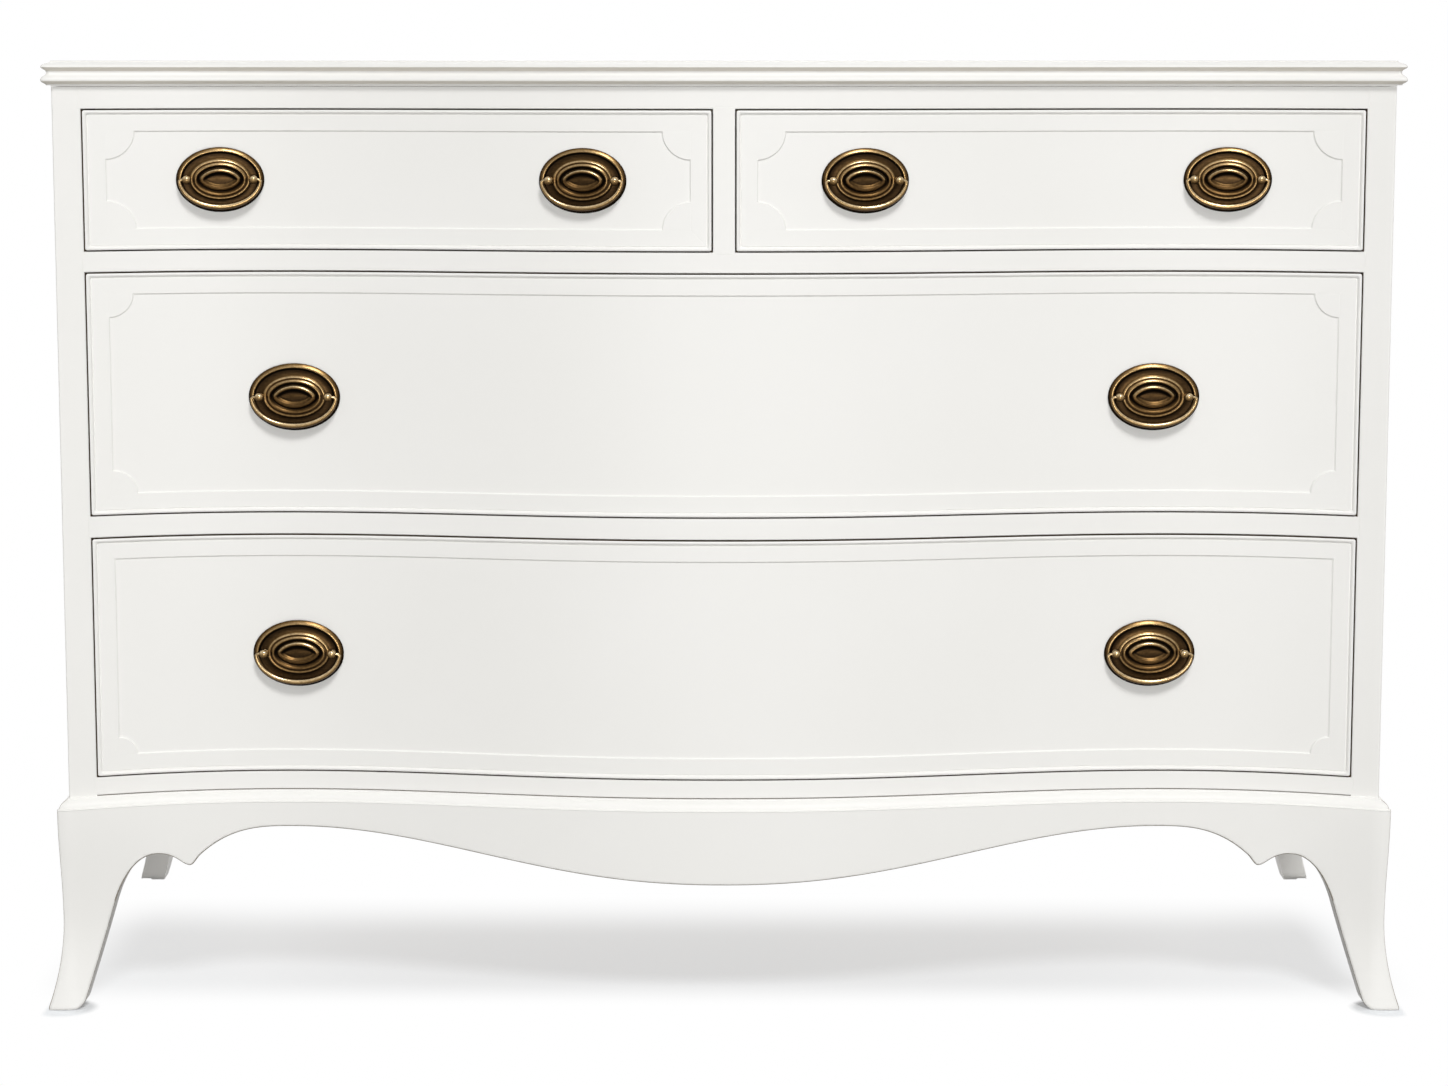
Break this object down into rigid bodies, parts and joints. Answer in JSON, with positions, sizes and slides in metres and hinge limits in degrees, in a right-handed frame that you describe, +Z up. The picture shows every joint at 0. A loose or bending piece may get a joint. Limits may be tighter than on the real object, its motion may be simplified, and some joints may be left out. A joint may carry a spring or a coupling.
{
  "type": "dresser",
  "caption": "Low serpentine front dresser with small drawers over long drawers, oval bail pulls, a moulded top and splayed bracket feet.",
  "frame": {"origin": "on the floor, under the middle of the dresser", "axes": "+X to the right as seen from the front, +Y to the back, +Z up; the drawers open towards -Y"},
  "size_m": [1.2414, 0.5342, 0.864],
  "materials": {
    "white_paint": "white paint, satin, sprayed over wood",
    "drawer_wood": "bare poplar, sanded",
    "plywood": "bare plywood",
    "old_brass": "antique brass, dark in the hollows"
  },
  "bodies": {
    "case": {"back_panel": "plywood", "base_moulding": "white_paint", "bottom_dust_frame": "drawer_wood", "bottom_rail": "white_paint", "centre_guide": "drawer_wood", "centre_mullion": "white_paint", "corner_block_left": "drawer_wood", "corner_block_right": "drawer_wood", "front_post_left": "white_paint", "front_post_right": "white_paint", "front_skirt": "white_paint", "lower_divider_rail": "white_paint", "lower_dust_frame": "drawer_wood", "rear_bracket_left": "drawer_wood", "rear_bracket_right": "drawer_wood", "side_panel_left": "white_paint", "side_panel_right": "white_paint", "side_skirt_left": "white_paint", "side_skirt_right": "white_paint", "top_back_rail": "drawer_wood", "top_board": "white_paint", "top_rail": "white_paint", "upper_divider_rail": "white_paint", "upper_dust_frame": "drawer_wood"},
    "small_drawer_left": {"small_drawer_left_back": "drawer_wood", "small_drawer_left_bottom": "plywood", "small_drawer_left_front": "white_paint", "small_drawer_left_side_left": "drawer_wood", "small_drawer_left_side_right": "drawer_wood", "small_left_inner_pull_plate": "old_brass", "small_left_outer_pull_plate": "old_brass"},
    "small_drawer_right": {"small_drawer_right_back": "drawer_wood", "small_drawer_right_bottom": "plywood", "small_drawer_right_front": "white_paint", "small_drawer_right_side_left": "drawer_wood", "small_drawer_right_side_right": "drawer_wood", "small_right_inner_pull_plate": "old_brass", "small_right_outer_pull_plate": "old_brass"},
    "middle_drawer": {"middle_drawer_back": "drawer_wood", "middle_drawer_bottom": "plywood", "middle_drawer_front": "white_paint", "middle_drawer_side_left": "drawer_wood", "middle_drawer_side_right": "drawer_wood", "middle_left_pull_plate": "old_brass", "middle_right_pull_plate": "old_brass"},
    "lower_drawer": {"lower_drawer_back": "drawer_wood", "lower_drawer_bottom": "plywood", "lower_drawer_front": "white_paint", "lower_drawer_side_left": "drawer_wood", "lower_drawer_side_right": "drawer_wood", "lower_left_pull_plate": "old_brass", "lower_right_pull_plate": "old_brass"},
    "lower_left_pull_bail": {"lower_left_pull_bail": "old_brass"},
    "lower_right_pull_bail": {"lower_right_pull_bail": "old_brass"},
    "middle_left_pull_bail": {"middle_left_pull_bail": "old_brass"},
    "middle_right_pull_bail": {"middle_right_pull_bail": "old_brass"},
    "small_left_inner_pull_bail": {"small_left_inner_pull_bail": "old_brass"},
    "small_left_outer_pull_bail": {"small_left_outer_pull_bail": "old_brass"},
    "small_right_inner_pull_bail": {"small_right_inner_pull_bail": "old_brass"},
    "small_right_outer_pull_bail": {"small_right_outer_pull_bail": "old_brass"}
  },
  "joints": [
    {"name": "small_drawer_left_slide", "type": "slide", "parent": "case", "child": "small_drawer_left", "axis": [0, -1, 0], "range_m": [0, 0.36]},
    {"name": "small_drawer_right_slide", "type": "slide", "parent": "case", "child": "small_drawer_right", "axis": [0, -1, 0], "range_m": [0, 0.36]},
    {"name": "middle_drawer_slide", "type": "slide", "parent": "case", "child": "middle_drawer", "axis": [0, -1, 0], "range_m": [0, 0.36]},
    {"name": "lower_drawer_slide", "type": "slide", "parent": "case", "child": "lower_drawer", "axis": [0, -1, 0], "range_m": [0, 0.36]},
    {"name": "small_left_outer_pull_swing", "type": "hinge", "parent": "small_drawer_left", "child": "small_left_outer_pull_bail", "pos_m": [-0.45479, -0.21062, 0.7575], "axis": [-0.9945, -0.1044, 0], "range_deg": [0, 175]},
    {"name": "small_left_inner_pull_swing", "type": "hinge", "parent": "small_drawer_left", "child": "small_left_inner_pull_bail", "pos_m": [-0.12733, -0.24146, 0.7575], "axis": [-0.9924, 0.1228, 0], "range_deg": [0, 175]},
    {"name": "small_right_inner_pull_swing", "type": "hinge", "parent": "small_drawer_right", "child": "small_right_inner_pull_bail", "pos_m": [0.12733, -0.24146, 0.7575], "axis": [-0.9924, -0.1228, 0], "range_deg": [0, 175]},
    {"name": "small_right_outer_pull_swing", "type": "hinge", "parent": "small_drawer_right", "child": "small_right_outer_pull_bail", "pos_m": [0.45479, -0.21062, 0.7575], "axis": [-0.9945, 0.1044, 0], "range_deg": [0, 175]},
    {"name": "middle_left_pull_swing", "type": "hinge", "parent": "middle_drawer", "child": "middle_left_pull_bail", "pos_m": [-0.39212, -0.20762, 0.55995], "axis": [-0.9999, 0.017, 0], "range_deg": [0, 175]},
    {"name": "middle_right_pull_swing", "type": "hinge", "parent": "middle_drawer", "child": "middle_right_pull_bail", "pos_m": [0.39212, -0.20762, 0.55995], "axis": [-0.9999, -0.017, 0], "range_deg": [0, 175]},
    {"name": "lower_left_pull_swing", "type": "hinge", "parent": "lower_drawer", "child": "lower_left_pull_bail", "pos_m": [-0.39212, -0.20762, 0.3227], "axis": [-0.9999, 0.017, 0], "range_deg": [0, 175]},
    {"name": "lower_right_pull_swing", "type": "hinge", "parent": "lower_drawer", "child": "lower_right_pull_bail", "pos_m": [0.39212, -0.20762, 0.3227], "axis": [-0.9999, -0.017, 0], "range_deg": [0, 175]}
  ]
}
